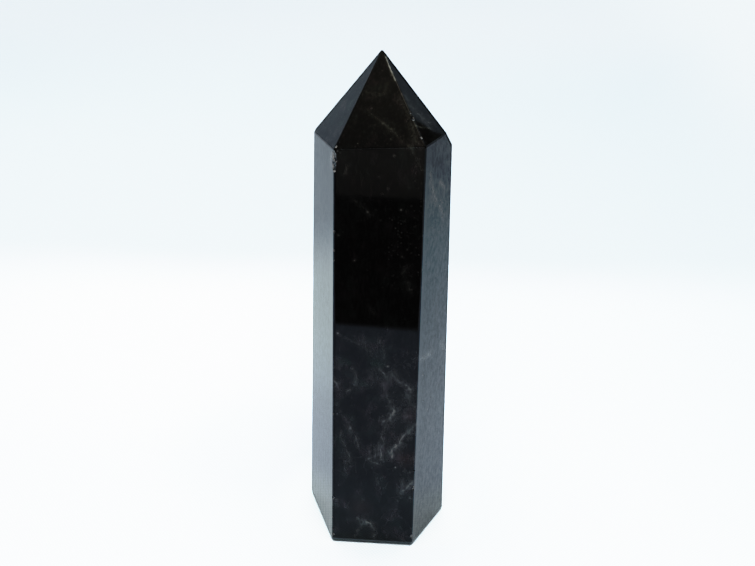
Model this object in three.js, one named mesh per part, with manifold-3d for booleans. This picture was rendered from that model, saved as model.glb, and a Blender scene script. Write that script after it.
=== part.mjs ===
// A polished point of morion, the nearly black kind of smoky quartz. It is one piece: a
// six-sided prism, sawn flat at the foot, with six tip faces ground to a single apex.
// Millimetres, +Z up. The foot rests on z = 0 and the origin is in the middle of it.

import * as THREE from "three";
import { ConvexGeometry } from "three/addons/geometries/ConvexGeometry.js";
import { mergeVertices } from "three/addons/utils/BufferGeometryUtils.js";
import Module from "manifold-3d";

const wasm = await Module();
wasm.setup();

// Where the six tip faces would meet, and how much of that sharp point is worn away.
const APEX = new THREE.Vector3(-0.05, -0.3, 80);
const TIP_WEAR = 0.25;

// The six sides, in order round the stone. bearing: the way a side faces, in degrees from
// the front (-Y) towards the right (+X). lean: how far it tilts back as it rises, in
// degrees. reach: its distance from the axis at the foot. tipBearing and tipSlope: the way
// the tip face above it faces, and its slope from the level, in degrees.
const SIDES = [
  { name: "front", bearing: -3.6, lean: 1.7, reach: 10.65, tipBearing: -5.9, tipSlope: 54.3 },
  { name: "right", bearing: 59.3, lean: 0.85, reach: 10.8, tipBearing: 57, tipSlope: 48.6 },
  { name: "back right", bearing: 111.2, lean: 1.3, reach: 10.25, tipBearing: 110.2, tipSlope: 55.4 },
  { name: "back", bearing: 173.9, lean: 1.3, reach: 10.6, tipBearing: 173.9, tipSlope: 52 },
  { name: "back left", bearing: 233.7, lean: 1.65, reach: 10.85, tipBearing: 234, tipSlope: 53.5 },
  { name: "left", bearing: 289, lean: 1.2, reach: 10.2, tipBearing: 286.7, tipSlope: 54.9 },
];

// Widths of the narrow polished bevels that break every edge.
const SIDE_BEVEL = 0.3;
const TIP_BEVEL = 0.24;
const SHOULDER_BEVEL = 0.3;
const FOOT_BEVEL = 0.3;

// Foot corners that are rubbed round: the two sides that meet there, and the depth lost.
const WORN_CORNERS = [
  { sides: ["back left", "left"], depth: 0.45 },
  { sides: ["right", "back right"], depth: 0.4 },
  { sides: ["front", "right"], depth: 0.25 },
  { sides: ["back", "back left"], depth: 0.3 },
];

// Chips along the edges. edge: the two faces that meet there. at: the share of the way up
// the edge, or along it at the foot. toward: 0 for a bite made square to the edge, up to 1
// for a flake that comes off the first face. length and depth are the size of the bite.
const CHIPS = [
  { edge: ["left", "front"], at: 0.986, toward: 0.8, length: 2, depth: 0.3 },
  { edge: ["left", "front"], at: 0.967, toward: 0.7, length: 2.2, depth: 0.32 },
  { edge: ["front", "left"], at: 0.978, toward: 0.4, length: 1.1, depth: 0.34 },
  { edge: ["front", "left"], at: 0.957, toward: 0.3, length: 0.8, depth: 0.26 },
  { edge: ["front", "left"], at: 0.823, toward: 0.4, length: 0.7, depth: 0.2 },
  { edge: ["front", "left"], at: 0.78, toward: 0.2, length: 0.6, depth: 0.2 },
  { edge: ["front", "left"], at: 0.758, toward: 0.5, length: 0.5, depth: 0.18 },
  { edge: ["front", "left"], at: 0.373, toward: 0.3, length: 0.6, depth: 0.2 },
  { edge: ["front", "left"], at: 0.213, toward: 0.2, length: 0.5, depth: 0.18 },
  { edge: ["front", "left"], at: 0.134, toward: 0.4, length: 0.8, depth: 0.24 },
  { edge: ["front", "right"], at: 0.224, toward: 0.5, length: 0.6, depth: 0.2 },
  { edge: ["front", "right"], at: 0.17, toward: 0.6, length: 0.8, depth: 0.22 },
  { edge: ["front", "right"], at: 0.03, toward: 0.3, length: 0.9, depth: 0.24 },
  { edge: ["front tip", "right tip"], at: 0.1, toward: 0.4, length: 0.7, depth: 0.2 },
  { edge: ["front tip", "right tip"], at: 0.29, toward: 0.2, length: 0.9, depth: 0.24 },
  { edge: ["front tip", "right tip"], at: 0.35, toward: 0, length: 0.6, depth: 0.2 },
  { edge: ["front tip", "left tip"], at: 0.03, toward: 0.3, length: 0.6, depth: 0.18 },
  { edge: ["back", "back left"], at: 0.62, toward: 0.3, length: 0.8, depth: 0.22 },
  { edge: ["back", "back left"], at: 0.14, toward: 0.5, length: 1.1, depth: 0.3 },
  { edge: ["back", "back right"], at: 0.93, toward: 0.4, length: 0.9, depth: 0.26 },
  { edge: ["back", "back right"], at: 0.37, toward: 0.2, length: 0.6, depth: 0.2 },
  { edge: ["back left", "left"], at: 0.48, toward: 0.3, length: 0.6, depth: 0.18 },
  { edge: ["right", "back right"], at: 0.71, toward: 0.4, length: 0.7, depth: 0.2 },
  { edge: ["back tip", "back left tip"], at: 0.4, toward: 0.2, length: 0.7, depth: 0.22 },
  { edge: ["back", "foot"], at: 0.35, toward: 0.6, length: 1.2, depth: 0.3 },
];
// Facet detail of the smallest bites; each millimetre of radius adds one more.
const CHIP_DETAIL = 3;

// Two corners closer than this are one corner.
const TOLERANCE = 1e-6;

const UP = new THREE.Vector3(0, 0, 1);
const DOWN = new THREE.Vector3(0, 0, -1);

function namedPlane(name, normal, point) {
  const plane = new THREE.Plane().setFromNormalAndCoplanarPoint(normal, point);
  return { name, plane };
}

// The unit vector at a bearing, raised by some degrees above the level.
function facing(bearing, rise) {
  const turn = THREE.MathUtils.degToRad(bearing);
  const lift = THREE.MathUtils.degToRad(rise);
  return new THREE.Vector3(
    Math.sin(turn) * Math.cos(lift),
    -Math.cos(turn) * Math.cos(lift),
    Math.sin(lift),
  );
}

function mainFaces() {
  const faces = [namedPlane("foot", DOWN, new THREE.Vector3())];
  for (const side of SIDES) {
    const foot = facing(side.bearing, 0).multiplyScalar(side.reach);
    faces.push(namedPlane(side.name, facing(side.bearing, side.lean), foot));
    const tipNormal = facing(side.tipBearing, 90 - side.tipSlope);
    faces.push(namedPlane(`${side.name} tip`, tipNormal, APEX));
  }
  return faces;
}

function meetingPoint(a, b, c) {
  const volume = a.normal.dot(new THREE.Vector3().crossVectors(b.normal, c.normal));
  if (Math.abs(volume) < TOLERANCE) return null;
  const point = new THREE.Vector3();
  point.addScaledVector(new THREE.Vector3().crossVectors(b.normal, c.normal), -a.constant);
  point.addScaledVector(new THREE.Vector3().crossVectors(c.normal, a.normal), -b.constant);
  point.addScaledVector(new THREE.Vector3().crossVectors(a.normal, b.normal), -c.constant);
  return point.divideScalar(volume);
}

// Every corner of the solid that lies behind all the faces.
function cornersOf(faces) {
  const corners = [];
  for (let i = 0; i < faces.length; i += 1) {
    for (let j = i + 1; j < faces.length; j += 1) {
      for (let k = j + 1; k < faces.length; k += 1) {
        const point = meetingPoint(faces[i].plane, faces[j].plane, faces[k].plane);
        if (point === null) continue;
        const outside = faces.some((face) => face.plane.distanceToPoint(point) > TOLERANCE);
        const known = corners.some((corner) => corner.distanceTo(point) < TOLERANCE);
        if (!outside && !known) corners.push(point);
      }
    }
  }
  return corners;
}

// Every pair of faces that share an edge, with the edge's ends, the lower one first.
function edgesOf(faces) {
  const corners = cornersOf(faces);
  const edges = [];
  for (let i = 0; i < faces.length; i += 1) {
    for (let j = i + 1; j < faces.length; j += 1) {
      const ends = corners.filter((corner) => {
        const offFirst = Math.abs(faces[i].plane.distanceToPoint(corner));
        const offSecond = Math.abs(faces[j].plane.distanceToPoint(corner));
        return Math.max(offFirst, offSecond) < TOLERANCE;
      });
      if (ends.length < 2) continue;
      ends.sort((a, b) => a.z - b.z);
      edges.push({ faces: [faces[i], faces[j]], ends });
    }
  }
  return edges;
}

function bevelWidth(first, second) {
  if (first.name === "foot" || second.name === "foot") return FOOT_BEVEL;
  const tips = [first, second].filter((face) => face.name.endsWith("tip")).length;
  return [SIDE_BEVEL, SHOULDER_BEVEL, TIP_BEVEL][tips];
}

function bevelOf(edge) {
  const [first, second] = edge.faces;
  const turn = first.plane.normal.angleTo(second.plane.normal);
  const sink = 0.5 * bevelWidth(first, second) * Math.tan(turn / 2);
  const normal = first.plane.normal.clone().add(second.plane.normal).normalize();
  const point = edge.ends[0].clone().addScaledVector(normal, -sink);
  return namedPlane("bevel", normal, point);
}

function planeNamed(faces, name) {
  return faces.find((face) => face.name === name).plane;
}

function wornCorner(faces, worn) {
  const meeting = [...worn.sides, "foot"].map((name) => planeNamed(faces, name));
  const normal = new THREE.Vector3();
  meeting.forEach((plane) => normal.add(plane.normal));
  normal.normalize();
  const corner = meetingPoint(...meeting);
  return namedPlane("worn corner", normal, corner.addScaledVector(normal, -worn.depth));
}

function toManifold(geometry) {
  geometry.deleteAttribute("normal");
  geometry.deleteAttribute("uv");
  const merged = mergeVertices(geometry);
  const vertProperties = new Float32Array(merged.attributes.position.array);
  const triVerts = new Uint32Array(merged.index.array);
  return new wasm.Manifold(new wasm.Mesh({ numProp: 3, vertProperties, triVerts }));
}

function toGeometry(manifold) {
  const mesh = manifold.getMesh();
  const geometry = new THREE.BufferGeometry();
  geometry.setAttribute("position", new THREE.BufferAttribute(mesh.vertProperties, 3));
  geometry.setIndex(new THREE.BufferAttribute(mesh.triVerts, 1));
  return geometry;
}

// A faceted ball that scoops a shell-shaped bite of the given length and depth.
function biteOf(chip, edges) {
  const edge = edges.find((candidate) =>
    candidate.faces.every((face) => chip.edge.includes(face.name)));
  const normals = chip.edge.map((name) => planeNamed(edge.faces, name).normal);
  const square = normals[0].clone().add(normals[1]).normalize();
  const outward = square.lerp(normals[0], chip.toward).normalize();
  const radius = (chip.length ** 2 / 4 + chip.depth ** 2) / (2 * chip.depth);
  const centre = edge.ends[0].clone().lerp(edge.ends[1], chip.at);
  centre.addScaledVector(outward, radius - chip.depth);
  const ball = new THREE.IcosahedronGeometry(radius, CHIP_DETAIL + Math.round(radius));
  ball.translate(centre.x, centre.y, centre.z);
  return toManifold(ball);
}

function crystal() {
  const faces = mainFaces();
  const edges = edgesOf(faces);
  const planes = [...faces, ...edges.map(bevelOf)];
  WORN_CORNERS.forEach((worn) => planes.push(wornCorner(faces, worn)));
  planes.push(namedPlane("worn tip", UP, APEX.clone().addScaledVector(UP, -TIP_WEAR)));
  let stone = toManifold(new ConvexGeometry(cornersOf(planes)));
  for (const chip of CHIPS) stone = stone.subtract(biteOf(chip, edges));
  const geometry = toGeometry(stone);
  geometry.computeBoundingBox();
  const middle = geometry.boundingBox.getCenter(new THREE.Vector3());
  return geometry.translate(-middle.x, -middle.y, 0);
}

const morion = new THREE.MeshStandardMaterial({
  color: 0x0d0b0c,
  roughness: 0.06,
  metalness: 0,
});

const point = new THREE.Mesh(crystal(), morion);
point.name = "morion_point";

const model = new THREE.Group();
model.add(point);
export default model;
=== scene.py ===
"""A polished point of morion, the nearly black kind of smoky quartz, on a pale cloth.

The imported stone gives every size: its flat faces are read from the frame, their edges are
rounded, and its own chips are cut back in. Lengths are in millimetres while a mesh is being
made and in metres once it is an object.
"""

import math
from collections import namedtuple
from itertools import combinations

import bmesh
import bpy
from bpy.props import FloatProperty, FloatVectorProperty, IntProperty, PointerProperty
from mathutils import Matrix, Vector


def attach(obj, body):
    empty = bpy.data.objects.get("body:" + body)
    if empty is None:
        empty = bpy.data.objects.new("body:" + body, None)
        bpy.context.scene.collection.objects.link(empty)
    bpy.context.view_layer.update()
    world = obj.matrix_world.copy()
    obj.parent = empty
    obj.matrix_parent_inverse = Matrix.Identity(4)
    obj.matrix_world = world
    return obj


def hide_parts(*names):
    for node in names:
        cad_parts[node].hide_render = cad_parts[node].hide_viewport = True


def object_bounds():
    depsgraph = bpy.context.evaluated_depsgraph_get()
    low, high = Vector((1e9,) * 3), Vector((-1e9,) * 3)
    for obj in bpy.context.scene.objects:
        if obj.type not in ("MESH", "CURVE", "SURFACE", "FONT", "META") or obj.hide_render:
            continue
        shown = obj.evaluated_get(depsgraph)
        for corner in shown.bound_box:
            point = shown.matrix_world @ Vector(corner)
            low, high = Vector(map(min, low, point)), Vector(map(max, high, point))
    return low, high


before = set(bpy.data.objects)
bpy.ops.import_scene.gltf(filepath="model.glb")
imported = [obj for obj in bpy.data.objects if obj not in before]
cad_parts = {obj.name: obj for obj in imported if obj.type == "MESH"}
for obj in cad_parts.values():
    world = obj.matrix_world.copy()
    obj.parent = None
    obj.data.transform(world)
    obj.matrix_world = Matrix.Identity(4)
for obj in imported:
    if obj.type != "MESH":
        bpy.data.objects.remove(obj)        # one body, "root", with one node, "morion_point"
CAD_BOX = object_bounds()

bl_info = {
    "name": "Morion quartz point",
    "version": (1, 0, 0),
    "blender": (4, 5, 0),
    "location": "3D View > Sidebar > Morion",
    "description": "A polished point of nearly black smoky quartz on a pale cloth",
    "category": "Object",
}

NODE = "morion_point"
PIECE = "morion_polished"
MM = 0.001  # one millimetre in metres
HEIGHT = (CAD_BOX[1].z - CAD_BOX[0].z) / MM


# --- Node trees ---


class Field:
    """A socket of a node tree. Arithmetic on it adds Math nodes to the tree."""

    def __init__(self, tree, socket):
        self.tree = tree
        self.socket = socket

    def __add__(self, other):
        return self.tree.math("ADD", self, other)

    def __radd__(self, other):
        return self.tree.math("ADD", other, self)

    def __sub__(self, other):
        return self.tree.math("SUBTRACT", self, other)

    def __rsub__(self, other):
        return self.tree.math("SUBTRACT", other, self)

    def __mul__(self, other):
        return self.tree.math("MULTIPLY", self, other)

    def __truediv__(self, other):
        return self.tree.math("DIVIDE", self, other)

    def __neg__(self):
        return self.tree.math("MULTIPLY", self, -1.0)


class Tree:
    """A node tree that is being written."""

    def __init__(self, tree):
        self.tree = tree
        tree.nodes.clear()

    def add(self, kind, sockets=None, settings=None, output=None):
        """Adds a node, with what goes into its sockets by name or in their order."""
        node = self.tree.nodes.new(kind)
        for name, value in (settings or {}).items():
            setattr(node, name, value)
        shown = [socket for socket in node.inputs if socket.enabled]
        named = {socket.name: socket for socket in reversed(shown)}
        wanted = sockets.items() if isinstance(sockets, dict) else enumerate(sockets or [])
        for key, value in wanted:
            socket = named[key] if isinstance(key, str) else shown[key]
            if isinstance(value, Field):
                self.tree.links.new(value.socket, socket)
            elif socket.type == "RGBA":
                socket.default_value = (*value, 1.0)
            else:
                socket.default_value = value
        outputs = [socket for socket in node.outputs if socket.enabled]
        if not outputs:
            return None
        chosen = [socket for socket in outputs if output in (None, socket.name)]
        return Field(self, chosen[0])

    def math(self, operation, *values):
        return self.add("ShaderNodeMath", values, {"operation": operation})

    def vector(self, operation, *values):
        return self.add("ShaderNodeVectorMath", values, {"operation": operation})

    def distance(self, place, point):
        return self.vector("DISTANCE", place, point)

    def times(self, vector, factor):
        """A vector times a number."""
        return self.vector("SCALE", vector, factor)

    def ramp(self, value, start, end, low=0.0, high=1.0):
        """low where value is at start, high where it is at end, and no further."""
        return self.add("ShaderNodeMapRange", [value, start, end, low, high],
                        {"interpolation_type": "SMOOTHSTEP"})

    def band(self, value, start, full, fading, end):
        """1 where value is between full and fading, and 0 outside start and end."""
        return self.ramp(value, start, full) * self.ramp(value, end, fading)

    def mix(self, share, first, second):
        """first where share is 0, second where it is 1, as colours."""
        return self.add("ShaderNodeMix", [share, first, second], {"data_type": "RGBA"})

    def cover(self, color, layers):
        """A colour with layers over it, each of them a share and a colour."""
        for share, layer in layers:
            color = self.mix(share, color, layer)
        return color

    def noise(self, place, scale, detail=2.0, roughness=0.5, output="Fac"):
        return self.add("ShaderNodeTexNoise", [place, scale, detail, roughness], output=output)

    def long_noise(self, place, across, upward, detail, roughness):
        """Noise that comes out finer across the stone than up it."""
        stretched = self.mapped(place, Scale=(across, across, upward))
        return self.noise(stretched, 1.0, detail, roughness)

    def mapped(self, place, **how):
        return self.add("ShaderNodeMapping", {"Vector": place, **how})

    def split(self, place):
        """The three numbers of a vector."""
        parts = self.add("ShaderNodeSeparateXYZ", [place])
        return [Field(self, socket) for socket in parts.socket.node.outputs]

    def bump(self, height, strength=1.0):
        """The normal of a surface that is raised by height, in millimetres."""
        return self.add("ShaderNodeBump",
                        {"Strength": strength, "Distance": MM, "Height": height})

    def principled(self, color, roughness, more=None):
        return self.add("ShaderNodeBsdfPrincipled",
                        {"Base Color": color, "Roughness": roughness, **(more or {})})

    def finish(self, shader):
        """Ends a material with its surface."""
        self.add("ShaderNodeOutputMaterial", {"Surface": shader})


def new_group(name, kind, inputs, output):
    """A new node group with one output, its tree, and its inputs by name."""
    group = bpy.data.node_groups.new(name, kind)
    for way, sockets in (("INPUT", inputs), ("OUTPUT", output)):
        for label, value in sockets.items():
            group.interface.new_socket(label, in_out=way, socket_type="NodeSocket" + value)
    tree = Tree(group)
    tree.add("NodeGroupInput")
    given = group.nodes[-1].outputs
    return group, tree, {label: Field(tree, given[label]) for label in inputs}


def new_material(name):
    material = bpy.data.materials.new(name)
    material.use_nodes = True
    return material, Tree(material.node_tree)


def millimetres(tree):
    """The place on the piece, in millimetres."""
    place = tree.add("ShaderNodeTexCoord", output="Object")
    return tree.mapped(place, Scale=(1 / MM,) * 3)


# --- The faces of the stone ---

# A flat face of the stone: the points where normal . point = distance.
Face = namedtuple("Face", "normal distance")

FACE_COUNT = 13  # six sides, six tip faces and the foot
LEAST_TRIANGLE = 1.0  # mm2; smaller ones are chips and bevels
LEAST_FACE = 30.0  # mm2; the bevels along the edges are narrower
SAME_WAY = 0.99999  # cosine between triangles of one face
DOWNWARD = -0.9  # the foot's normal has its z below this
SLOPING = 0.3  # a tip face's normal has its z above this
TOLERANCE = 1e-4  # mm


def polished_faces(mesh):
    """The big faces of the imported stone, in millimetres."""
    large = [face for face in mesh.polygons if face.area > LEAST_TRIANGLE * MM * MM]
    large.sort(key=lambda face: -face.area)
    groups = []
    for face in large:
        same = [group for group in groups if group[0].normal.dot(face.normal) > SAME_WAY]
        if same:
            same[0].append(face)
        else:
            groups.append([face])
    faces = []
    for group in groups:
        if sum(face.area for face in group) < LEAST_FACE * MM * MM:
            continue
        normal = group[0].normal.copy()
        faces.append(Face(normal, normal.dot(group[0].center) / MM))
    return faces


def is_foot(face):
    return face.normal.z < DOWNWARD


def is_tip(face):
    return face.normal.z > SLOPING


def facing(faces, x, y):
    """The face that looks most nearly that way."""
    return max(faces, key=lambda face: face.normal.x * x + face.normal.y * y)


def on_face(face, x, z):
    """The point of a face at that x and height, in millimetres."""
    y = (face.distance - face.normal.x * x - face.normal.z * z) / face.normal.y
    return Vector((x, y, z))


def corners(faces, inset):
    """The corners of the solid whose faces all move in by inset, each with its faces."""
    found = []
    for trio in combinations(faces, 3):
        rows = Matrix([face.normal for face in trio])
        if abs(rows.determinant()) < TOLERANCE:
            continue
        point = rows.inverted() @ Vector([face.distance - inset for face in trio])
        if all(face.normal.dot(point) < face.distance - inset + TOLERANCE for face in faces):
            found.append((point, trio))
    return found


def outer_edges(faces):
    """The ends of the long edges that part the faces in front from the ones behind."""
    for (start, trio), (end, other) in combinations(corners(faces, 0.0), 2):
        shared = [face for face in trio if face in other and not is_foot(face)]
        if len(shared) == 2 and shared[0].normal.y * shared[1].normal.y < 0:
            yield start, end


def ball_centres(faces, settings):
    """The balls that round the corners: centre, radius and the faces that each touches."""
    balls = []
    for radius, at_tip in ((settings.edge_radius / MM, False), (settings.tip_radius / MM, True)):
        for point, trio in corners(faces, radius):
            if all(map(is_tip, trio)) == at_tip:
                balls.append((point, radius, trio))
    return balls


# --- The stone's mesh ---

ROUNDING_STEPS = 7  # flats that make up a rounded edge
ALMOST_FLAT = math.radians(0.3)
CLEARANCE = 1.001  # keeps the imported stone's faces just off the rounded one's
SAME_POINT = 1e-7  # metres
OUTSIDE = 0.02  # mm; a face with stone further out than this is in a chip


def ways_between(normals):
    """Directions spread evenly over the corner between three face normals."""
    first, second, third = normals
    for i in range(ROUNDING_STEPS + 1):
        for j in range(ROUNDING_STEPS + 1 - i):
            k = ROUNDING_STEPS - i - j
            yield (first * i + second * j + third * k).normalized()


def rounded_solid(balls):
    """The solid that wraps the corner balls, with its flat faces left whole."""
    bm = bmesh.new()
    for centre, radius, trio in balls:
        for way in ways_between([face.normal for face in trio]):
            bm.verts.new(centre + way * radius)
    bmesh.ops.remove_doubles(bm, verts=bm.verts, dist=TOLERANCE)
    hull = bmesh.ops.convex_hull(bm, input=bm.verts)
    spare = {item for key in ("geom_interior", "geom_unused") for item in hull[key]}
    bmesh.ops.delete(bm, geom=[item for item in spare if isinstance(item, bmesh.types.BMVert)],
                     context="VERTS")
    bmesh.ops.dissolve_limit(bm, angle_limit=ALMOST_FLAT, verts=bm.verts, edges=bm.edges)
    bmesh.ops.recalc_face_normals(bm, faces=bm.faces)
    return mesh_from(bm, "rounded")


def mesh_from(bm, name):
    mesh = bpy.data.meshes.new(name)
    bm.to_mesh(mesh)
    bm.free()
    return mesh


def packed_copy(polished, fractured):
    """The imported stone's own mesh, merged, in millimetres and a hair larger."""
    bm = bmesh.new()
    bm.from_mesh(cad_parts[NODE].data)
    bmesh.ops.remove_doubles(bm, verts=bm.verts, dist=SAME_POINT)
    middle = Vector((0, 0, HEIGHT / 2))
    grow = Matrix.Translation(middle) @ Matrix.Scale(CLEARANCE, 4) @ Matrix.Translation(-middle)
    bmesh.ops.transform(bm, matrix=grow @ Matrix.Scale(1 / MM, 4), verts=bm.verts)
    for face in bm.faces:
        reach = max(face.normal.dot(vert.co) for vert in bm.verts)
        in_a_chip = reach > face.normal.dot(face.verts[0].co) + OUTSIDE
        face.material_index = 1 if in_a_chip else 0
    mesh = mesh_from(bm, "packed")
    mesh.materials.append(polished)
    mesh.materials.append(fractured)
    return mesh


def new_object(name, data):
    thing = bpy.data.objects.new(name, data)
    bpy.context.scene.collection.objects.link(thing)
    return thing


def applied(thing, name):
    """The object's mesh with its modifiers applied; the modifiers are removed."""
    depsgraph = bpy.context.evaluated_depsgraph_get()
    mesh = bpy.data.meshes.new_from_object(thing.evaluated_get(depsgraph), depsgraph=depsgraph)
    mesh.name = name
    thing.modifiers.clear()
    return mesh


def combine(mesh, tool_mesh, operation):
    """One mesh cut by another. The faces that the tool leaves keep the tool's material."""
    thing = new_object("cut", mesh)
    tool = new_object("tool", tool_mesh)
    modifier = thing.modifiers.new("Cut", "BOOLEAN")
    modifier.operation = operation
    modifier.solver = "EXACT"
    modifier.use_self = True
    modifier.material_mode = "TRANSFER"
    modifier.object = tool
    result = applied(thing, "cut")
    bpy.data.objects.remove(thing)
    bpy.data.objects.remove(tool)
    return result


def ridge_lines(balls):
    """A wire along the middle of every rounded edge, with the way each point faces."""
    wire = bpy.data.meshes.new("ridges")
    points, edges, outward = [], [], []
    for (first, radius, trio), (second, other, pair) in combinations(balls, 2):
        shared = [face for face in trio if face in pair]
        if len(shared) != 2:
            continue
        way = (shared[0].normal + shared[1].normal).normalized()
        edges.append((len(points), len(points) + 1))
        points += [first + way * radius, second + way * other]
        outward += [way, way]
    wire.from_pydata(points, edges, [])
    attribute = wire.attributes.new("outward", "FLOAT_VECTOR", "POINT")
    for item, way in zip(attribute.data, outward):
        item.vector = way
    return wire


def nick_tree():
    """Geometry Nodes that set small rough grains along a wire, to bite nicks out of it."""
    sizes = ("Spacing", "Smallest", "Largest", "Depth", "Scatter",
             "Chance at the foot", "Chance above", "Foot reach")
    inputs = {"Geometry": "Geometry", **dict.fromkeys(sizes, "Float"),
              "Seed": "Int", "Material": "Material"}
    group, tree, given = new_group("Edge nicks", "GeometryNodeTree", inputs,
                                   {"Geometry": "Geometry"})

    def chance(data_type, low, high, salt):
        return tree.add("FunctionNodeRandomValue",
                        {"Min": low, "Max": high, "Seed": given["Seed"] + salt},
                        {"data_type": data_type})

    curve = tree.add("GeometryNodeMeshToCurve", {"Mesh": given["Geometry"]})
    points = tree.add("GeometryNodeCurveToPoints",
                      {"Curve": curve, "Length": given["Spacing"]}, {"mode": "LENGTH"})
    height = tree.split(tree.add("GeometryNodeInputPosition"))[2]
    odds = tree.add("ShaderNodeMapRange",
                    {"Value": height, "From Min": 0.0, "From Max": given["Foot reach"],
                     "To Min": given["Chance at the foot"], "To Max": given["Chance above"]})
    chosen = tree.add("FunctionNodeCompare", {"A": chance("FLOAT", 0.0, 1.0, 1), "B": odds},
                      {"data_type": "FLOAT", "operation": "LESS_THAN"})
    lot = chance("FLOAT", 0.0, 1.0, 2)
    radius = given["Smallest"] + (given["Largest"] - given["Smallest"]) * lot * lot
    outward = tree.add("GeometryNodeInputNamedAttribute", {"Name": "outward"},
                       {"data_type": "FLOAT_VECTOR"})
    stray = tree.times(chance("FLOAT_VECTOR", (-1, -1, -1), (1, 1, 1), 3), given["Scatter"])
    lift = tree.times(outward, radius * (1 - given["Depth"]))
    moved = tree.add("GeometryNodeSetPosition",
                     {"Geometry": points, "Offset": tree.vector("ADD", stray, lift)})
    turn = chance("FLOAT_VECTOR", (0, 0, 0), (math.tau, math.tau, math.tau), 4)
    stretch = chance("FLOAT_VECTOR", (0.75, 0.75, 0.75), (1.3, 1.3, 1.3), 5)
    grain = tree.add("GeometryNodeMeshIcoSphere", {"Radius": 1.0, "Subdivisions": 2})
    grains = tree.add("GeometryNodeInstanceOnPoints",
                      {"Points": moved, "Selection": chosen, "Instance": grain,
                       "Rotation": turn, "Scale": tree.times(stretch, radius)})
    solid = tree.add("GeometryNodeRealizeInstances", {"Geometry": grains})
    done = tree.add("GeometryNodeSetMaterial",
                    {"Geometry": solid, "Material": given["Material"]})
    tree.add("NodeGroupOutput", {"Geometry": done})
    return group


def nick_grains(wire, settings, material):
    """The grains that bite the nicks, as a plain mesh."""
    thing = new_object("grains", wire)
    modifier = thing.modifiers.new("Nicks", "NODES")
    modifier.node_group = nick_tree()
    values = {
        "Spacing": settings.nick_spacing / MM,
        "Smallest": settings.nick_smallest / MM,
        "Largest": settings.nick_largest / MM,
        "Depth": 0.45,
        "Scatter": 0.12,
        "Chance at the foot": 0.16,
        "Chance above": 0.02,
        "Foot reach": HEIGHT * 0.28,
        "Seed": settings.seed,
        "Material": material,
    }
    for item in modifier.node_group.interface.items_tree:
        if item.item_type == "SOCKET" and item.in_out == "INPUT" and item.name in values:
            modifier[item.identifier] = values[item.name]
    mesh = applied(thing, "grains")
    bpy.data.objects.remove(thing)
    return mesh


CREASE = math.radians(32)  # faces that meet at more than this stay sharp


def mark_worn(mesh, faces):
    """Marks the rounded edges, which have lost their polish."""
    attribute = mesh.attributes.new("worn", "FLOAT", "FACE")
    for polygon, item in zip(mesh.polygons, attribute.data):
        nearest = max(face.normal.dot(polygon.normal) for face in faces)
        item.value = 0.0 if nearest > SAME_WAY else 1.0


def finish_stone(mesh):
    """Tidies the cut mesh, brings it to metres, and sets which of its edges are sharp."""
    bm = bmesh.new()
    bm.from_mesh(mesh)
    bmesh.ops.dissolve_degenerate(bm, dist=TOLERANCE, edges=bm.edges)
    bmesh.ops.remove_doubles(bm, verts=bm.verts, dist=TOLERANCE)
    for edge in bm.edges:
        finishes = {face.material_index for face in edge.link_faces}
        edge.smooth = len(finishes) == 1 and edge.calc_face_angle(math.pi) < CREASE
    for face in bm.faces:
        face.smooth = True
    bmesh.ops.transform(bm, matrix=Matrix.Scale(MM, 4), verts=bm.verts)
    bm.to_mesh(mesh)
    bm.free()
    thing = new_object("weighted", mesh)
    modifier = thing.modifiers.new("Flat faces stay flat", "WEIGHTED_NORMAL")
    modifier.keep_sharp = True
    modifier.weight = 100
    result = applied(thing, PIECE)
    bpy.data.objects.remove(thing)
    return result


# --- The finish of the stone ---

# A row of each list of veils is a veil or crack that reaches a face: the points that it
# passes through, as x and height in millimetres, half the width of its bright line, the
# reach of the haze beside it, and how pale it is. A row of each list of flecks or stains is
# the x and height of its middle, its radius and how strong it is.

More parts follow.
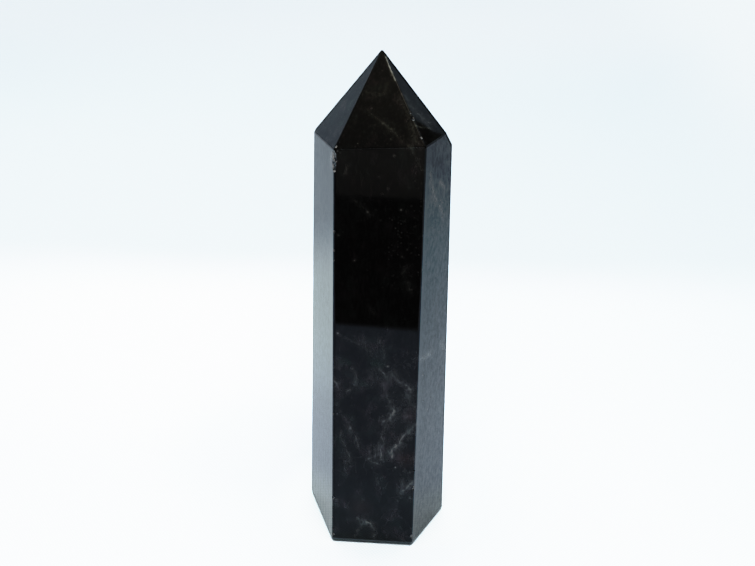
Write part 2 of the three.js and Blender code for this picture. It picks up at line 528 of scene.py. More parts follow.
# Pale veils in the front side, from the foot up.
FRONT_VEILS = [
    ([(-2.9, 5.1), (-1.6, 4.6), (-0.9, 3.9), (-0.5, 2.9), (-0.3, 1.2)], 0.2, 0.7, 0.4),
    ([(-2.4, 3.9), (-3.1, 2.5), (-3.7, 1.1)], 0.2, 0.8, 0.3),
    ([(-1.7, 4.5), (-1, 4.1)], 0.26, 0.5, 0.45),
    ([(4.3, 11.1), (4.9, 12), (5.6, 12.9)], 0.26, 0.6, 0.6),
    ([(4, 13.4), (4.1, 12.3)], 0.18, 0.5, 0.4),
    ([(0.1, 13.4), (0.2, 12.2)], 0.14, 0.4, 0.3),
    ([(-5.3, 15.6), (-5, 14.7)], 0.1, 0.4, 0.2),
    ([(-4.9, 17.4), (-5, 16.2)], 0.1, 0.4, 0.2),
    ([(-5.7, 22), (-5.3, 20.5), (-4.9, 19), (-4.5, 17.4), (-4.3, 16.4)], 0.18, 0.6, 0.36),
    ([(-6.4, 27.2), (-5.2, 25), (-4.2, 22.8)], 0.16, 0.6, 0.22),
    ([(-4.2, 22.8), (-3.5, 21.4), (-3, 19.4)], 0.22, 0.6, 0.42),
    ([(-1.4, 17.3), (-0.6, 16.6), (0.2, 16.3)], 0.14, 0.5, 0.5),
    ([(-1.1, 19.4), (-1, 17.5)], 0.07, 0.3, 0.4),
    ([(-0.4, 19.6), (-0.2, 17.3)], 0.07, 0.3, 0.4),
    ([(0.2, 20.8), (0.3, 18)], 0.1, 0.5, 0.3),
    ([(0.8, 18.8), (0.9, 17.2)], 0.2, 0.5, 0.55),
    ([(6, 24), (5, 22.9), (4.2, 22), (3.6, 21.1), (3.3, 20.3)], 0.18, 0.6, 0.65),
    ([(3.3, 20.3), (2.6, 19.4), (2.3, 18.7), (2.4, 17.8)], 0.16, 0.5, 0.85),
    ([(0.9, 31.7), (1.2, 29.5), (2, 27.8), (2.5, 26), (2.2, 25)], 0.18, 0.8, 0.3),
    ([(2.5, 26.4), (2.2, 25.2), (1.6, 24.6), (0.8, 24.6)], 0.36, 0.8, 0.5),
    ([(1.4, 23.6), (0.9, 21.8), (1, 20.4), (0.8, 19.2)], 0.18, 0.6, 0.35),
    ([(2.3, 33.4), (2.8, 32.5), (3.3, 31.7), (4.2, 31.2), (4.9, 30.4)], 0.3, 0.9, 0.42),
    ([(4.9, 30.4), (4.6, 29), (4.7, 28.2), (5.9, 27)], 0.4, 1, 0.26),
    ([(0.1, 33.9), (1, 33.2), (1.8, 32.2)], 0.18, 0.5, 0.4),
    ([(-3.9, 33.8), (-3.4, 33), (-3.3, 31.9), (-3.6, 30.8)], 0.16, 0.5, 0.32),
    ([(-4.2, 29.9), (-4.8, 29.6)], 0.18, 0.5, 0.45),
    ([(-6.8, 31.6), (-6.3, 30.6)], 0.24, 0.6, 0.6),
    ([(-1, 33.2), (-0.8, 31.4)], 0.4, 0.8, 0.22),
    ([(-6.7, 33.6), (-5.8, 33.6)], 0.1, 0.3, 0.4),
    ([(-5.8, 39.4), (-4.6, 38.8), (-2.8, 38)], 0.07, 0.4, 0.3),
    ([(-2.2, 38.2), (-1.4, 36.9)], 0.5, 0.8, 0.2),
    ([(0.1, 39), (0.2, 38.2)], 0.12, 0.4, 0.35),
    ([(0.6, 37.9), (0.7, 35.3)], 0.08, 0.3, 0.2),
    ([(-4, 61), (-2.4, 59.9), (-1.4, 59)], 0.2, 0.5, 0.3),
    ([(3.5, 50.1), (4, 50.9)], 0.2, 0.5, 0.3),
    ([(4.2, 48.5), (4.5, 47.3)], 0.2, 0.5, 0.4),
    ([(-1.5, 44.3), (-0.8, 43.2)], 0.2, 0.5, 0.25),
]

# Small pale flecks in the front side.
FRONT_FLECKS = [
    (-6.1, 39.7, 0.22, 1), (1.5, 34.4, 0.2, 1), (-3.7, 33.7, 0.16, 0.3),
    (3, 15.8, 0.13, 1.9), (5.3, 15, 0.24, 0.6), (5.5, 9.9, 0.26, 0.6),
    (5.8, 3.7, 0.14, 0.5), (-6.5, 8.8, 0.3, 0.5), (-6.3, 25.4, 0.13, 0.9),
    (2.9, 59.7, 0.2, 1.02), (4.3, 60.3, 0.14, 0.48), (0.1, 58, 0.16, 0.42),
    (-1.7, 59.2, 0.16, 0.9), (-0.6, 59.6, 0.14, 0.36), (-5.9, 55.5, 0.2, 0.66),
    (3.9, 53.7, 0.15, 0.72), (3.2, 52.6, 0.2, 0.72), (4.5, 53.2, 0.14, 0.48),
    (-3.6, 51.7, 0.2, 0.9), (3.4, 58, 0.18, 0.36), (4.8, 58.6, 0.18, 0.36),
    (0.5, 47.6, 0.2, 0.24), (1.9, 48, 0.2, 0.24), (1, 62.7, 0.2, 0.36),
    (0.2, 61.9, 0.2, 0.3), (1.8, 67.5, 0.2, 0.6), (-0.2, 64.4, 0.2, 0.24),
    (-6.2, 68.3, 0.1, 1.6), (-5.9, 67.9, 0.1, 1.2), (-5.5, 68.3, 0.09, 0.8),
    (-6.3, 67.5, 0.12, 1.4), (-5.6, 67.7, 0.1, 0.5),
]

# Veils and flecks that show through the side to the right of the front.
RIGHT_VEILS = [
    ([(6.9, 64.5), (7.3, 61.9), (7.9, 59.9)], 0.3, 0.6, 0.4),
    ([(8.5, 62.4), (9.3, 61)], 0.14, 0.3, 0.6),
    ([(8.6, 58.9), (9.2, 56.8)], 0.14, 0.3, 0.5),
    ([(6.3, 35.6), (7.2, 35), (8.2, 34.9)], 0.25, 0.5, 0.6),
    ([(9.9, 34.9), (10.3, 33.4)], 0.4, 0.6, 0.6),
]
RIGHT_FLECKS = [(6.9, 32.2, 0.2, 1.2), (7.9, 24.8, 0.25, 0.9), (7.2, 27.4, 0.2, 0.7)]

# Where a chip's pale grain runs on across the side to the left of the front.
LEFT_VEILS = [([(-6.85, 67.2), (-7.05, 66), (-6.85, 64.9)], 0.12, 0.15, 2.2)]

# Round stains under the front side: red ones, then green ones.
RED_STAINS = [(4.6, 17.6, 1.5, 1), (5.2, 25.6, 1.1, 0.6), (-2.6, 7.5, 1.8, 0.7),
              (3, 21.6, 1, 0.3)]
GREEN_STAINS = [(-5.7, 34.7, 0.6, 0.8), (-4.6, 34.7, 0.5, 0.7), (-0.6, 34.9, 0.7, 0.9),
                (0.5, 34.6, 0.6, 0.7), (-6.1, 20.5, 0.9, 0.6)]

# Brownish veils near the tip: on the front side first, then on the tip face above it, with a
# painted highlight among them on the ridge by the apex.
SHOULDER_VEILS = [
    ([(4, 68.7), (4.8, 67.2), (5.6, 65.6)], 0.24, 0.9, 0.24),
    ([(-4.6, 66), (-4.9, 64.8)], 0.16, 0.4, 0.34),
    ([(1.2, 66.2), (4, 63)], 0.4, 1.2, 0.08),
]
TIP_VEILS_AND_HIGHLIGHT = [
    ([(-1.9, 72.8), (-0.9, 72.1), (0.2, 71.4)], 0.12, 0.5, 0.22),
    ([(0.2, 71.4), (1.3, 70.7)], 0.12, 0.5, 0.45),
    ([(1.3, 70.7), (2.4, 69.8), (3.4, 69), (4, 68.7)], 0.14, 0.6, 0.26),
    ([(-2, 74.9), (-0.6, 74.6), (0.4, 74.9), (0.6, 76)], 0.4, 0.9, 0.2),
    # A painted highlight along the ridge just below the apex, drawn as a bright veil.
    ([(0.5, 79.1), (0.9, 78.2), (1.3, 77.3), (1.8, 76.4)], 0.06, 0.13, 2.2),
    ([(2.4, 74.4), (3.2, 73.2), (3.7, 72.3), (4.2, 71.2)], 0.3, 0.7, 0.2),
    ([(4.2, 71.2), (4.4, 70.2), (4.6, 69.6), (5.3, 69.1)], 0.3, 0.7, 0.28),
]
RIGHT_TIP_VEILS = [
    ([(4.2, 71.6), (5.2, 71), (6, 70.7), (6.7, 70.4)], 0.1, 0.2, 0.6),
    ([(4.7, 72.6), (5.8, 71.6), (6.6, 70.9)], 0.3, 0.8, 0.34),
    ([(3.2, 74.6), (4.1, 73.2)], 0.25, 0.8, 0.2),
]
TIP_FLECKS = [(-3.2, 68.9, 0.12, 0.9), (1.4, 69.5, 0.14, 0.4), (-2.4, 72.6, 0.12, 0.2),
              (4.2, 70.1, 0.12, 0.6), (1.3, 69.6, 0.14, 0.6), (-0.8, 69.1, 0.12, 0.4)]

HAZE_SHARE = 0.6  # how pale the haze beside a veil's line is
STRAND_SHARE = 0.3  # how pale the second line beside it is
STRAND_OFFSET = 1.9  # how far off the second line is, in half widths
FAR_AWAY = 1000.0  # mm


def amount_group(name, vectors, numbers, output="Amount"):
    """A shader group from named vectors and numbers to one number."""
    inputs = {**dict.fromkeys(vectors, "Vector"), **dict.fromkeys(numbers, "Float")}
    group, tree, given = new_group(name, "ShaderNodeTree", inputs, {output: "Float"})
    return group, tree, given.values()


def stroke_group():
    """The distance to the nearest of a chain of straight strokes, one stroke at a time."""
    vectors = ("Place", "Start", "Run", "Share")
    group, tree, given = amount_group("Stroke", vectors, ("Nearest",), "Nearest")
    place, start, run, share, nearest = given
    offset = tree.vector("SUBTRACT", place, start)
    along = tree.vector("DOT_PRODUCT", offset, share)
    along = tree.math("MINIMUM", tree.math("MAXIMUM", along, 0.0), 1.0)
    away = tree.distance(offset, tree.times(run, along))
    tree.add("NodeGroupOutput", [tree.math("MINIMUM", nearest, away)])
    return group


def veil_group():
    """How pale a veil is at a distance from its line: a ribbon with soft edges, in a haze."""
    group, tree, given = amount_group("Veil", (), ("Nearest", "Line", "Haze", "Pale"))
    nearest, line, haze, pale = given
    across = nearest / line
    core = tree.math("EXPONENT", -(across * across))
    beside = across - STRAND_OFFSET
    strand = tree.math("EXPONENT", -(beside * beside * 4.0)) * STRAND_SHARE
    soft = tree.math("EXPONENT", -(nearest / haze)) * HAZE_SHARE
    tree.add("NodeGroupOutput", [(core + strand + soft) * pale])
    return group


def fleck_group():
    """How pale a small round fleck is at a place."""
    group, tree, given = amount_group("Fleck", ("Place", "Centre"), ("Size", "Pale"))
    place, centre, size, pale = given
    away = tree.distance(place, centre) / size
    tree.add("NodeGroupOutput", [tree.math("EXPONENT", -(away * away)) * pale])
    return group


class VeilPainter:
    """Adds up the amounts of veils and flecks over the stone."""

    def __init__(self, tree, place):
        self.tree = tree
        self.place = place
        self.stroke = stroke_group()
        self.veil = veil_group()
        self.fleck = fleck_group()

    def use(self, group, *values):
        return self.tree.add("ShaderNodeGroup", values, {"node_tree": group})

    def distance(self, points):
        nearest = FAR_AWAY
        for start, end in zip(points, points[1:]):
            run = end - start
            share = run / run.length_squared
            nearest = self.use(self.stroke, self.place, start, run, share, nearest)
        return nearest

    def veils(self, face, veils):
        """The sum of the veils that reach one face."""
        total = 0.0
        for points, line, haze, pale in veils:
            nearest = self.distance([on_face(face, x, z) for x, z in points])
            total = self.use(self.veil, nearest, line, haze, pale) + total
        return total

    def flecks(self, face, flecks):
        """The sum of the flecks in one face."""
        total = 0.0
        for x, z, size, pale in flecks:
            total = self.use(self.fleck, self.place, on_face(face, x, z), size, pale) + total
        return total


RIGHT_EDGE = (6.2, 7.0)  # mm; x over the edge between the front and right sides
LEFT_EDGE = (-7.0, -7.6)  # mm; x over the edge between the front and left sides
LOWER_HALF = (42.0, 34.0)  # mm; heights over which the lower half's veils come in
SPECK_BAND = (HEIGHT * 0.56, HEIGHT * 0.62, 60.0, 61.5)  # mm; heights of the thickest specks
WEB_BAND = (7.0, 11.0, 25.0, 32.0)  # mm; heights of the web
FOOT_RIM = (0.15, 0.4, 0.7, 0.95)  # mm; heights of the unpolished rim
TIP_RISE = (HEIGHT * 0.76, HEIGHT * 0.92)  # mm; heights where it turns brown
QUARTZ_IOR = 1.544


def wisps(tree, place, scale, mask_scale, start, ragged=1.5):
    """Wandering healed cracks: sharp along one side, fading away on the other."""
    level = tree.noise(place, scale, ragged)
    rise = tree.ramp(level, 0.45, 0.5)
    fall = tree.ramp(level, 0.505, 0.5)
    mask = tree.ramp(tree.noise(place, mask_scale, 1.0), start, start + 0.1)
    return rise * rise * fall * mask


def smoke(tree, place, height):
    """Faint clouds and upright fibres through the whole stone, thicker in its lower half."""
    cloud = tree.ramp(tree.long_noise(place, 0.5, 0.3, 4.0, 0.6), 0.46, 0.72)
    fibre = tree.ramp(tree.long_noise(place, 2.6, 0.8, 3.0, 0.6), 0.47, 0.7)
    return cloud * tree.ramp(height, *LOWER_HALF, 0.04, 0.085) + fibre * 0.04


def streaks(tree, place):
    """Slanting clouds just under the right side."""
    turned = tree.mapped(place, Rotation=(math.radians(-50), 0, 0), Scale=(0.3, 0.2, 0.75))
    return tree.ramp(tree.noise(turned, 1.0, 4.0, 0.6), 0.45, 0.75)


def tired_polish(tree, place, x):
    """How dull the polish is, in fine upright grain: most on the right, less on the left."""
    grain = tree.ramp(tree.long_noise(place, 1.6, 1.0, 4.0, 0.7), 0.36, 0.64)
    return grain * (tree.ramp(x, *RIGHT_EDGE, 0.0, 0.26) + tree.ramp(x, *LEFT_EDGE, 0.0, 0.1))


def specks(tree, place, x, height):
    """Fine pale specks in dust, thickest on the right of the front side above its middle."""
    cells = tree.add("ShaderNodeTexVoronoi", {"Vector": place, "Scale": 2.3})
    chance, strength = tree.split(Field(tree, cells.socket.node.outputs["Color"]))[:2]
    rare = tree.ramp(chance, 0.74, 0.86)
    right = tree.ramp(x, 0.0, 3.0)
    level = tree.band(height, *SPECK_BAND)
    share = right * level * 0.9 + 0.3
    dust = tree.ramp(tree.noise(place, 1.3, 4.0, 0.7), 0.56, 0.7) * right * level * 0.45
    return tree.ramp(cells, 0.5, 0.0) * rare * strength * share + dust


def web(tree, place, x, height):
    """A fine pale web under the lower right of the front side and round to its right."""
    strands = tree.long_noise(place, 0.8, 0.55, 5.0, 0.7)
    level = tree.band(height, *WEB_BAND)
    return tree.ramp(strands, 0.48, 0.68) * level * tree.ramp(x, 2.0, 5.0) * 0.35


def morion_material(settings, faces):
    """Polished morion: nearly black, with pale veils, cracks and flecks under the polish."""
    material, tree = new_material("polished morion")
    place = millimetres(tree)
    x, y, height = tree.split(place)
    sides = [face for face in faces if not is_tip(face) and not is_foot(face)]
    tips = [face for face in faces if is_tip(face)]
    front, right, left = facing(sides, 0, -1), facing(sides, 1, -1), facing(sides, -1, -1)
    front_tip, right_tip = facing(tips, 0, -1), facing(tips, 1, -1)

    sway = tree.vector("SUBTRACT", tree.noise(place, 0.5, 1.0, output="Color"), (0.5,) * 3)
    shake = tree.vector("SUBTRACT", tree.noise(place, 2.4, 3.0, output="Color"), (0.5,) * 3)
    straight = tree.vector("ADD", place, tree.times(shake, 0.25))
    bent = tree.vector("ADD", straight, tree.times(sway, 0.9))
    frayed = tree.ramp(tree.long_noise(place, 2.2, 1.3, 3.0, 0.65), 0.35, 0.65, 0.45, 1.25)

    painter = VeilPainter(tree, bent)
    pale = painter.veils(front, FRONT_VEILS) * frayed
    slanted = tree.mapped(bent, Rotation=(math.radians(35), 0, math.radians(20)),
                          Scale=(1.0, 1.0, 0.45))
    wander = wisps(tree, slanted, 0.17, 0.12, 0.52, 6) + wisps(tree, slanted, 0.4, 0.2, 0.55, 5)
    pale = pale + wander * frayed * tree.ramp(y, 1.0, 4.0) * 0.6
    pale = pale + specks(tree, place, x, height) + web(tree, bent, x, height)
    pale = pale + wisps(tree, bent, 0.5, 0.25, 0.5) * tree.ramp(height, *LOWER_HALF) * 0.24
    pale = pale + streaks(tree, place) * tree.ramp(x, *RIGHT_EDGE) * 0.16
    pale = painter.veils(right, RIGHT_VEILS) * frayed + pale
    pale = painter.veils(left, LEFT_VEILS) * frayed + pale
    painter.place = straight
    brown = painter.veils(front, SHOULDER_VEILS)
    # The tip's list holds a painted highlight along the ridge below the apex.
    brown = painter.veils(front_tip, TIP_VEILS_AND_HIGHLIGHT) + brown
    brown = (painter.veils(right_tip, RIGHT_TIP_VEILS) + brown) * frayed
    pale = painter.flecks(front, FRONT_FLECKS) + pale
    pale = painter.flecks(right, RIGHT_FLECKS) + pale
    brown = painter.flecks(front_tip, TIP_FLECKS) + brown
    painter.place = bent
    red = painter.flecks(front, RED_STAINS)
    green = painter.flecks(front, GREEN_STAINS)

    hue = tree.ramp(tree.noise(place, 0.4, 1.0), 0.42, 0.58)
    smoke_color = tree.mix(hue, settings.brown_smoke_color, settings.green_smoke_color)
    strength = settings.veil_strength
    rim = tree.band(height, *FOOT_RIM)
    color = tree.cover(settings.body_color, [
        (tree.ramp(height, *TIP_RISE), settings.tip_color),
        (smoke(tree, place, height), smoke_color),
        (red * 0.05, settings.red_stain_color),
        (green * 0.055, settings.green_stain_color),
        (tree.math("MINIMUM", pale * strength, 1.0), settings.veil_color),
        (tree.math("MINIMUM", brown * strength, 1.0), settings.tip_veil_and_highlight_color),
        (rim, settings.foot_color),
    ])

    smudge = tree.ramp(tree.noise(place, 0.16, 3.0, 0.6), 0.45, 0.75)
    rough = settings.roughness + smudge * 0.02 + rim * 0.35
    normal = tree.bump(tree.noise(place, 0.09, 2.0) * 0.02)
    polish = tree.principled(color, rough, {"IOR": QUARTZ_IOR, "Normal": normal})
    dull = tree.principled(color, 0.45, {"Specular IOR Level": 0.15})
    worn = tree.add("ShaderNodeAttribute", None, {"attribute_name": "worn"}, "Fac")
    painter.place = place
    # Painted shade: a dull, dark strip along the outer edges between the front and back faces;
    # the dull rounded edges and the dull grain are worn polish.
    outline_distance = FAR_AWAY
    for start, end in outer_edges(faces):
        outline_distance = tree.math("MINIMUM", outline_distance, painter.distance([start, end]))
    wear = worn * tree.ramp(x, 2.0, -2.0, 0.05, 0.2) + tired_polish(tree, place, x)
    wear_and_outline_shade = tree.math("MAXIMUM", wear, tree.ramp(outline_distance, 0.5, 0.32, 0.0, 0.85))
    tree.finish(tree.add("ShaderNodeMixShader", [wear_and_outline_shade, polish, dull]))
    return material


def fracture_material(settings):
    """The fresh, grainy surface inside a chip."""
    material, tree = new_material("fractured morion")
    place = millimetres(tree)
    grain = tree.noise(place, 3.2, 4.0, 0.7)
    shade = tree.ramp(grain, 0.4, 0.62)
    height = tree.split(place)[2]
    pits = tree.ramp(tree.noise(place, 1.5, 2.0), 0.4, 0.5, 0.15, 1.0)
    pale = shade * pits * tree.ramp(height, 68.0, 69.5, 1.0, 0.4)
    color = tree.mix(pale, settings.body_color, settings.chip_color)
    normal = tree.bump(grain * 0.12, 0.8)
    rough = 0.3 + shade * 0.25
    tree.finish(tree.principled(color, rough, {"IOR": QUARTZ_IOR, "Normal": normal}))
    return material


# --- The stage ---

# The light in the tone of the finished picture: scene value, then display value. Bright
# cloth stays soft, and the darks are pressed down.
TONE_POINTS = [
    (0.0, 0.0), (0.0175, 0.009), (0.045, 0.083), (0.107, 0.301), (0.1425, 0.423),
    (0.2, 0.64), (0.29, 0.905), (0.375, 0.958), (0.5, 0.982), (1.0, 1.0),
]
RED_POINTS = [(0.0, 0.0), (0.45, 0.45), (0.78, 0.835), (0.96, 0.968), (1.0, 1.0)]

WEAVE_TURN = math.radians(35)  # how the threads lie to the stone's X axis
WEAVE_COLOR = (0.42, 0.46, 0.5)
LIGHT_PATCH = (-55.0, 62.0, 0.0)  # mm; the middle of a pool of painted light on the left
SHADOW_PATCH = (-24.0, 16.0, 0.0)  # mm; the middle of a painted shadow on the left
LIT_RING = (20.0, 12.5)  # mm from the stone's axis, where painted light round the foot begins and where it is full
FAR_SHADE_LINE = (80.0, 114.0)  # mm; how far back the painted shade of the far cloth begins and is full
BOX_PLACE = (-0.1, 0.2, 0.25)  # metres
FILL_PLACE = (0.0, -0.1, 0.2)  # metres
SENSOR_WIDTH = 36.0  # mm

# The back of the camera, from its lens, in millimetres.
SCREEN = [(-110, -6, -45), (110, -6, -45), (110, -46, 45), (-110, -46, 45)]

# The front and back edges of the flag in front of the stone, in millimetres.
FLAG_FRONT = -196.0
FLAG_BACK = -88.0

# The corner of a flag, high on the right, that the right face of the tip mirrors.
RIGHT_FLAG = [(225, 144, 211), (228, 144, 206), (230, 144, 203), (232, 144, 199),
              (234, 145.5, 194), (236, 147, 189), (249, 137, 177), (240, 122, 210)]


def cloth_material(settings):
    """Pale cloth with a fine weave, and painted light and shade: painted shade in front, on the
    right and far back, a painted shadow on the left, and painted light on the left, round the
    foot and furthest away.
    """
    material, tree = new_material("pale cloth")
    place = millimetres(tree)
    x, y = tree.split(place)[:2]
    turn = math.tau / (settings.weave / MM)
    along = x * math.cos(WEAVE_TURN) + y * math.sin(WEAVE_TURN)
    across = y * math.cos(WEAVE_TURN) - x * math.sin(WEAVE_TURN)
    warp = tree.math("SINE", along * turn) * tree.noise(place, 0.9, 1.0)
    weft = tree.math("SINE", across * turn) * tree.noise(place, 1.1, 1.0)
    weave = warp + weft
    drift = tree.noise(place, 0.012, 2.0) * 16.0
    # Painted shade: past a soft, wandering line far back the cloth turns to the far colour.
    beyond = tree.ramp(y + x * 0.036 + drift, *FAR_SHADE_LINE)
    foot = tree.ramp(tree.distance(place, (0.0, 0.0, 0.0)), *LIT_RING)
    furthest = tree.math("MAXIMUM", tree.ramp(y, 230.0, 430.0), tree.ramp(x, 90.0, 200.0))
    corner = tree.ramp(x, 120.0, 230.0) * tree.ramp(y, 120.0, 300.0)
    # Painted light on the far cloth: lighter furthest away and in the far right corner.
    far = tree.cover(settings.far_cloth_shade_color, [
        (furthest, settings.furthest_cloth_light_color),
        (corner * 0.2, settings.cloth_light_color),
    ])
    color = tree.cover(settings.cloth_color, [
        # Painted shade: the cloth to the right is darker.
        (tree.ramp(x, 30.0, 110.0), settings.right_cloth_shade_color),
        # Painted shade: the cloth in front is darker.
        (tree.ramp(y, -15.0, -40.0), settings.front_cloth_shade_color),
        # Painted light: a lighter patch on the left.
        (tree.ramp(tree.distance(place, LIGHT_PATCH), 60.0, 10.0), settings.cloth_light_color),
        # Painted shadow: a darker patch on the left.
        (tree.ramp(tree.distance(place, SHADOW_PATCH), 22.0, 8.0) * 0.15, settings.cloth_shadow_color),
        # Painted shade: the cloth far to the right is darker still.
        (tree.ramp(x, 100.0, 145.0), settings.far_right_cloth_shade_color),
        # Painted light on the cloth close round the foot, except in front.
        (foot * tree.ramp(y, -14.0, -8.0) * 0.8, settings.cloth_light_color),
        (beyond, far),
        (weave * 0.2 + 0.2, WEAVE_COLOR),
    ])
    tree.finish(tree.principled(color, 0.9, {"Specular IOR Level": 0.1}))
    return material


def table_material(settings):
    """The matt surface of the table, and of the camera's back."""
    material, tree = new_material("table")
    tree.finish(tree.principled(settings.table_color, 0.8))
    return material


def flag_material():
    """Nearly black felt with a faint painted glow, out of focus along the edges that cross in
    front of the stone.
    """
    material, tree = new_material("black flag")
    y = tree.split(millimetres(tree))[1]
    # Painted light: the felt's faint brightness is an emission; no lamp lights it.
    felt = tree.add("ShaderNodeEmission", {"Color": (1.0, 1.0, 1.0), "Strength": 0.05})
    clear = tree.add("ShaderNodeBsdfTransparent")
    near = tree.ramp(y, FLAG_FRONT + 0.6, FLAG_FRONT + 7.4)
    cover = near * tree.ramp(tree.math("ABSOLUTE", y - FLAG_BACK), 2.0, 5.0)
    tree.finish(tree.add("ShaderNodeMixShader", [cover, clear, felt]))
    return material


def rectangle(left, right, front, back, height):
    return [(left, front, height), (right, front, height), (right, back, height),
            (left, back, height)]


def flat_sheet(name, points, material):
    """A flat sheet through points given in millimetres."""
    mesh = bpy.data.meshes.new(name)
    mesh.from_pydata([Vector(point) * MM for point in points], [], [range(len(points))])
    mesh.materials.append(material)
    sheet = new_object(name, mesh)
    return sheet


def only_in_reflections(sheet):
    """A black flag of the studio: it darkens reflections and nothing else."""
    for ray in ("camera", "diffuse", "shadow", "transmission", "volume_scatter"):
        setattr(sheet, "visible_" + ray, False)


def studio_world(settings):
    """A plain room: dim to the left, warm in front, and brightest overhead."""
    world = bpy.data.worlds.new("studio")
    world.use_nodes = True
    tree = Tree(world.node_tree)
    way = tree.add("ShaderNodeTexCoord", output="Generated")
    across, along, up = tree.split(way)
    right = tree.ramp(across, -0.5, 0.6)
    front = tree.ramp(along, 0.3, -0.4)
    color = tree.mix(right, settings.left_room_color, settings.right_room_color)
    color = tree.mix(front, color, settings.front_room_color)
    person = front * tree.ramp(up, 0.87, 0.7)
    strength = tree.ramp(up, 0.84, 1.0, 1.0, settings.overhead_share) * settings.room_light
    strength = strength * (1 - person * 0.8)
    light = tree.add("ShaderNodeBackground", {"Color": color, "Strength": strength})
    tree.add("ShaderNodeOutputWorld", {"Surface": light})
    bpy.context.scene.world = world


def soft_box(name, place, size, power, color):
    """A square soft light that faces the middle of the stone."""
    data = bpy.data.lights.new(name, "AREA")
    data.shape = "SQUARE"
    data.size = size
    data.energy = power
    data.color = color
    lamp = new_object(name, data)
    lamp.location = place
    toward = Vector((0, 0, HEIGHT * MM / 2)) - Vector(place)
    lamp.rotation_euler = toward.to_track_quat("-Z", "Y").to_euler()
    return lamp


def set_tone():
    """The view's own curve, with red lifted a little in the highlights."""
    view = bpy.context.scene.view_settings
    view.view_transform = "Standard"
    view.look = "None"
    view.use_curve_mapping = True
    mapping = view.curve_mapping
    for curve, points in ((mapping.curves[3], TONE_POINTS), (mapping.curves[0], RED_POINTS)):
        for _ in points[2:]:
            curve.points.new(0.5, 0.5)
        for point, location in zip(curve.points, points):
            point.location = location
            point.handle_type = "AUTO_CLAMPED"
    mapping.update()


# --- Settings and operators ---


def number(name, description, default, **limits):
    return FloatProperty(name=name, description=description, default=default, **limits)


def length(name, description, default):
    return number(name, description, default, min=0.0, unit="LENGTH", subtype="DISTANCE",
                  precision=5)


def angle(name, description, degrees):
    return number(name, description, math.radians(degrees), unit="ROTATION", subtype="ANGLE")


def share(name, description, default):
    return number(name, description, default, min=0.0, max=1.0, subtype="FACTOR")


def paint(name, what, default):
    return FloatVectorProperty(name=name, description="Colour of " + what, default=default,
                               subtype="COLOR", size=3, min=0.0, max=1.0)


class MorionStoneSettings(bpy.types.PropertyGroup):
    """Sizes and colours of the stone"""

    edge_radius: length("Edge radius", "How far the long edges are rounded", 0.52 * MM)
    tip_radius: length("Tip radius", "How far the edges at the tip are rounded", 0.2 * MM)
    nick_spacing: length("Nick spacing", "Step along the edges between possible nicks", 0.5 * MM)
    nick_smallest: length("Smallest nick", "Radius of the smallest nick", 0.12 * MM)
    nick_largest: length("Largest nick", "Radius of the largest nick", 0.38 * MM)
    seed: IntProperty(name="Seed", description="Changes where the small nicks fall", default=7)
    roughness: share("Roughness", "Roughness of the polish", 0.03)
    body_color: paint("Body", "the stone", (0.0018, 0.0013, 0.0013))
    tip_color: paint("Tip", "the thinner stone at the tip", (0.002, 0.0014, 0.0006))
    veil_color: paint("Veils", "the pale veils", (0.33, 0.315, 0.29))
    # Also the colour of the painted highlight along the ridge by the apex.
    tip_veil_and_highlight_color: paint("Tip veils", "the veils near the tip", (0.19, 0.187, 0.165))
    brown_smoke_color: paint("Brown smoke", "half the faint clouds", (0.235, 0.19, 0.2))
    green_smoke_color: paint("Green smoke", "the other faint clouds", (0.15, 0.18, 0.16))
    red_stain_color: paint("Red stains", "the red stains", (0.36, 0.2, 0.17))
    green_stain_color: paint("Green stains", "the green stains", (0.16, 0.3, 0.22))
    veil_strength: share("Veil strength", "How strongly veils show", 0.21)
    chip_color: paint("Chips", "the grain inside a chip", (0.24, 0.23, 0.22))
    foot_color: paint("Foot", "the unpolished rim of the foot", (0.06, 0.065, 0.065))


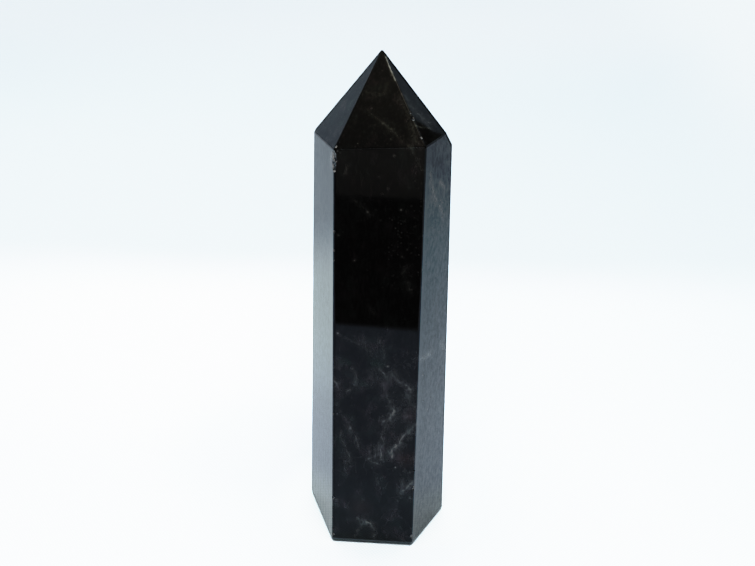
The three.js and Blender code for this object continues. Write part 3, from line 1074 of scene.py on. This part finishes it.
class MorionStageSettings(bpy.types.PropertyGroup):
    """The cloth, the light and the camera"""

    cloth_size: length("Cloth", "Length of the cloth's sides", 1.4)
    cloth_hem: number("Hem", "Where the cloth ends in front", -0.193, unit="LENGTH",
                      subtype="DISTANCE")
    weave: length("Weave", "Width of one pair of threads", 0.45 * MM)
    cloth_color: paint("Cloth", "the cloth", (0.755, 0.835, 0.92))
    # Painted shade on the cloth in front.
    front_cloth_shade_color: paint("Cloth in front", "the cloth in front", (0.61, 0.645, 0.715))
    # Painted shade on the cloth to the right and far to the right.
    right_cloth_shade_color: paint("Cloth aside", "the cloth to the right", (0.65, 0.76, 0.84))
    far_right_cloth_shade_color: paint("Cloth far aside", "the cloth far to the right", (0.63, 0.69, 0.735))
    # Painted light, on the left, round the foot and in the far right corner.
    cloth_light_color: paint("Crest", "the cloth where the light catches it", (0.91, 0.99, 1.0))
    # Painted shade on the far cloth, with painted light furthest away; the cloth has no fold.
    far_cloth_shade_color: paint("Far cloth", "the cloth beyond the fold", (0.535, 0.58, 0.625))
    furthest_cloth_light_color: paint("Furthest cloth", "the cloth furthest away", (0.605, 0.625, 0.66))
    # Painted shadow on the cloth to the left of the stone; the cloth has no hollow.
    cloth_shadow_color: paint("Hollow", "the soft hollow on the left", (0.3, 0.25, 0.27))
    table_color: paint("Table", "the table", (0.6, 0.58, 0.56))
    left_room_color: paint("Room, left", "the room on the left", (0.66, 0.72, 0.78))
    right_room_color: paint("Room, right", "the room on the right", (0.8, 0.9, 1.0))
    front_room_color: paint("Room in front", "the room in front", (1.0, 0.97, 0.9))
    room_light: number("Room light", "Brightness of the room", 0.294, min=0.0)
    overhead_share: number("Overhead", "How much brighter it is overhead", 8.0, min=1.0)
    box_power: number("Soft box", "Power of the soft box behind the stone", 0.07, min=0.0,
                      unit="POWER")
    fill_power: number("Fill", "Power of the soft light over the camera", 0.06, min=0.0,
                       unit="POWER")
    lens: number("Lens", "Focal length on the sensor", 44.1, min=1.0, unit="CAMERA")
    camera_place: FloatVectorProperty(name="Camera", description="Place of the camera",
                                      default=(-0.000255, -0.128873, 0.1092), size=3,
                                      unit="LENGTH", subtype="TRANSLATION", precision=6)
    camera_pitch: angle("Pitch", "How far the camera looks down", 27.0)
    camera_roll: angle("Roll", "How far the camera is turned", 0.76)


class MORION_OT_point(bpy.types.Operator):
    """Make the polished stone with its rounded edges, chips and veils"""

    bl_idname = "morion.point"
    bl_label = "Polished point"

    def execute(self, context):
        settings = context.scene.morion_stone
        faces = polished_faces(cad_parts[NODE].data)
        if len(faces) != FACE_COUNT:
            raise RuntimeError(f"the packed stone shows {len(faces)} faces, not {FACE_COUNT}")
        morion = morion_material(settings, faces)
        fracture = fracture_material(settings)
        balls = ball_centres(faces, settings)
        mesh = rounded_solid(balls)
        mesh.materials.append(morion)
        mesh = combine(mesh, packed_copy(morion, fracture), "INTERSECT")
        grains = nick_grains(ridge_lines(balls), settings, fracture)
        mesh = combine(mesh, grains, "DIFFERENCE")
        mesh = finish_stone(mesh)
        mark_worn(mesh, faces)
        stone = new_object(PIECE, mesh)
        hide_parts(NODE)
        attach(stone, "root")
        return {"FINISHED"}


class MORION_OT_stage(bpy.types.Operator):
    """Lay the cloth, and set the soft light, the black flags and the picture's tone"""

    bl_idname = "morion.stage"
    bl_label = "Stage"

    def execute(self, context):
        settings = context.scene.morion_stage
        half = settings.cloth_size / 2 / MM
        hem = settings.cloth_hem / MM
        flat_sheet("cloth", rectangle(-half, half, hem, half, 0.0), cloth_material(settings))
        table = table_material(settings)
        flat_sheet("table", rectangle(-half, half, -half, hem, 0.0), table)
        screen = [settings.camera_place / MM + Vector(corner) for corner in SCREEN]
        flat_sheet("camera_back", screen, table).visible_camera = False
        felt = flag_material()
        strip = rectangle(-130, 110, FLAG_FRONT, FLAG_BACK, 0.4)
        only_in_reflections(flat_sheet("front_flag", strip, felt))
        only_in_reflections(flat_sheet("right_flag", RIGHT_FLAG, felt))
        studio_world(settings)
        soft_box("soft_box", BOX_PLACE, 0.25, settings.box_power, (0.95, 0.98, 1.0))
        fill = soft_box("fill", FILL_PLACE, 0.1, settings.fill_power, (0.97, 0.98, 1.0))
        fill.visible_glossy = False
        set_tone()
        return {"FINISHED"}


class MORION_OT_camera(bpy.types.Operator):
    """Set the camera in front of the stone, looking down on it"""

    bl_idname = "morion.camera"
    bl_label = "Camera"

    def execute(self, context):
        settings = context.scene.morion_stage
        data = bpy.data.cameras.new("camera")
        data.sensor_width = SENSOR_WIDTH
        data.lens = settings.lens
        data.clip_start = MM
        data.clip_end = 10.0
        camera = new_object("camera", data)
        tilt = Matrix.Rotation(math.radians(90) - settings.camera_pitch, 4, "X")
        roll = Matrix.Rotation(settings.camera_roll, 4, "Z")
        camera.matrix_world = Matrix.Translation(settings.camera_place) @ tilt @ roll
        context.scene.camera = camera
        return {"FINISHED"}


class MORION_PT_panel(bpy.types.Panel):
    """The stone and its stage"""

    bl_label = "Morion point"
    bl_space_type = "VIEW_3D"
    bl_region_type = "UI"
    bl_category = "Morion"

    def draw(self, context):
        for label, settings in (("Stone", context.scene.morion_stone),
                                ("Stage", context.scene.morion_stage)):
            box = self.layout.box()
            box.label(text=label)
            for name in settings.__annotations__:
                box.prop(settings, name)
        for operator in OPERATORS:
            self.layout.operator(operator.bl_idname)


OPERATORS = (MORION_OT_camera, MORION_OT_point, MORION_OT_stage)
CLASSES = (MorionStoneSettings, MorionStageSettings, *OPERATORS, MORION_PT_panel)


def register():
    for item in CLASSES:
        bpy.utils.register_class(item)
    bpy.types.Scene.morion_stone = PointerProperty(type=MorionStoneSettings)
    bpy.types.Scene.morion_stage = PointerProperty(type=MorionStageSettings)


def unregister():
    del bpy.types.Scene.morion_stage
    del bpy.types.Scene.morion_stone
    for item in reversed(CLASSES):
        bpy.utils.unregister_class(item)


def main():
    register()
    bpy.ops.morion.camera()
    bpy.ops.morion.point()
    bpy.ops.morion.stage()


if __name__ == "__main__":
    main()
